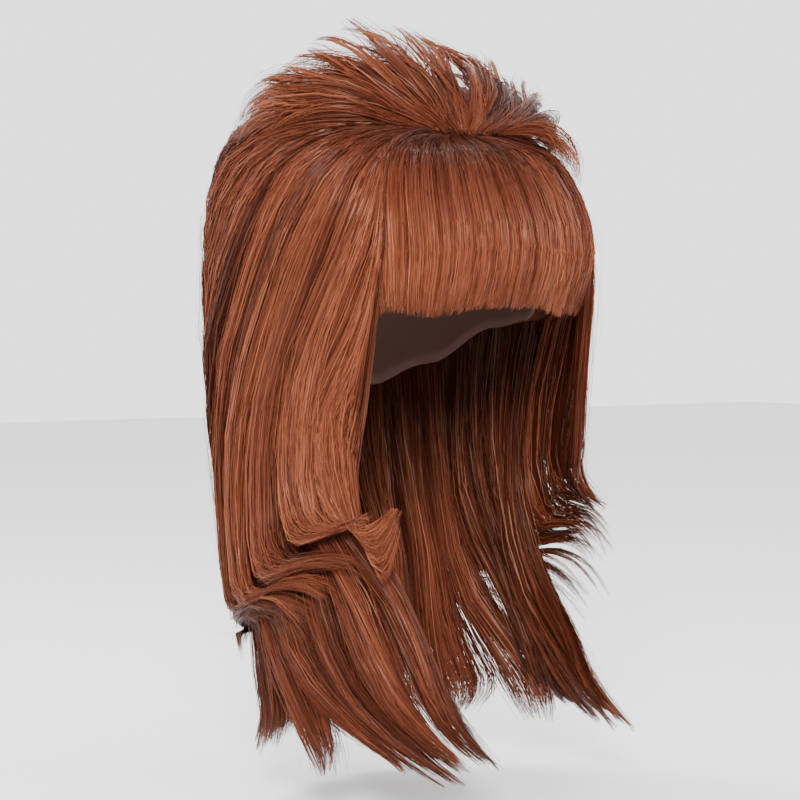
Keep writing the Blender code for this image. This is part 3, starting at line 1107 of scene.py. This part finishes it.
def studio_world():
    """White all round, and dimmer towards the ceiling."""
    world = bpy.data.worlds.new("studio")
    world.use_nodes = True
    tree = world.node_tree
    parts = tree.nodes.new("ShaderNodeSeparateXYZ")
    place = node(tree, "ShaderNodeTexCoord", {})
    tree.links.new(place.socket, parts.inputs[0])
    height = Wire(tree, parts.outputs[2])
    strength = node(
        tree, "ShaderNodeMapRange", {"interpolation_type": "SMOOTHSTEP"},
        height, 0.25, 0.9, WALL_LIGHT, CEILING_LIGHT,
    )
    tree.links.new(strength.socket, tree.nodes["Background"].inputs["Strength"])
    tree.nodes["Background"].inputs["Color"].default_value = (1, 1, 1, 1)
    return world


WALL_LIGHT = 2.3
CEILING_LIGHT = 1.5
FLOOR_DROP = 30 * MM
FLOOR_SIZE = 12.0
LAMPS = (
    # name, place, size, watts
    ("key_lamp", (-1.5, -1.9, 0.9), 0.7, 120.0),
    ("fill_lamp", (1.9, -1.2, 0.5), 1.2, 15.0),
    ("back_lamp", (-0.4, 1.4, 1.6), 0.8, 40.0),
)


class WIG_OT_strays(bpy.types.Operator):
    """Make the fine single hairs that stand off the wig"""

    bl_idname = "wig.strays"
    bl_label = "Stray hairs"

    def execute(self, context):
        stray_piece(context, looks(context, "copper_strands", strand_look), 19)
        return {"FINISHED"}


class WIG_OT_stage(bpy.types.Operator):
    """Make the floor, the lights and the camera"""

    bl_idname = "wig.stage"
    bl_label = "Stage"

    def execute(self, context):
        sizes = context.scene.wig_sizes
        bm = bmesh.new()
        bmesh.ops.create_grid(bm, x_segments=1, y_segments=1, size=FLOOR_SIZE / 2)
        bmesh.ops.translate(bm, verts=bm.verts[:], vec=(0, 0, CAD_BOX[0][2] - FLOOR_DROP))
        mesh = finished_mesh("floor", bm)
        mesh.materials.append(plain_look("pale_floor", tuple(context.scene.wig_colours.floor), 0.6))
        linked(bpy.data.objects.new("floor", mesh))

        context.scene.world = studio_world()

        middle = Vector((0, 0.3 * BACK_REACH, -0.3 * FALL_LENGTH))
        for name, place, size, watts in LAMPS:
            lamp = bpy.data.lights.new(name, "AREA")
            lamp.shape = "DISK"
            lamp.size = size
            lamp.energy = watts
            stand = linked(bpy.data.objects.new(name, lamp))
            stand.location = place
            stand.rotation_euler = (middle - Vector(place)).to_track_quat("-Z", "Y").to_euler()

        turn, rise = sizes.view_turn, sizes.view_rise
        back = Vector(
            (math.sin(turn) * math.cos(rise), -math.cos(turn) * math.cos(rise), math.sin(rise))
        )
        right = Vector((math.cos(turn), math.sin(turn), 0))
        up = back.cross(right)
        aim = right * -0.0248 + up * -0.168
        lens = bpy.data.cameras.new("camera")
        lens.sensor_width = 36
        lens.lens = lens.sensor_width * sizes.view_distance / sizes.view_span
        camera = linked(bpy.data.objects.new("camera", lens))
        camera.location = aim + back * sizes.view_distance
        camera.rotation_euler = (-back).to_track_quat("-Z", "Y").to_euler()
        context.scene.camera = camera
        return {"FINISHED"}


class WIG_PT_panel(bpy.types.Panel):
    bl_label = "Beehive Wig"
    bl_idname = "WIG_PT_panel"
    bl_space_type = "VIEW_3D"
    bl_region_type = "UI"
    bl_category = "Wig"

    def draw(self, context):
        for settings in (context.scene.wig_sizes, context.scene.wig_colours):
            for name in settings.bl_rna.properties.keys():
                if name not in ("name", "rna_type"):
                    self.layout.prop(settings, name)
        for operator in OPERATORS:
            self.layout.operator(operator.bl_idname)


OPERATORS = (
    WIG_OT_cap,
    WIG_OT_base,
    WIG_OT_crown,
    WIG_OT_fringe,
    WIG_OT_sides,
    WIG_OT_falls,
    WIG_OT_strays,
    WIG_OT_stage,
)
CLASSES = (WigSizes, WigColours, *OPERATORS, WIG_PT_panel)


def register():
    for cls in CLASSES:
        bpy.utils.register_class(cls)
    bpy.types.Scene.wig_sizes = bpy.props.PointerProperty(type=WigSizes)
    bpy.types.Scene.wig_colours = bpy.props.PointerProperty(type=WigColours)


def unregister():
    del bpy.types.Scene.wig_colours
    del bpy.types.Scene.wig_sizes
    for cls in reversed(CLASSES):
        bpy.utils.unregister_class(cls)


def main():
    register()
    bpy.ops.wig.cap()
    bpy.ops.wig.base()
    bpy.ops.wig.crown()
    bpy.ops.wig.fringe()
    bpy.ops.wig.sides()
    bpy.ops.wig.falls()
    bpy.ops.wig.strays()
    bpy.ops.wig.stage()


if __name__ == "__main__":
    main()
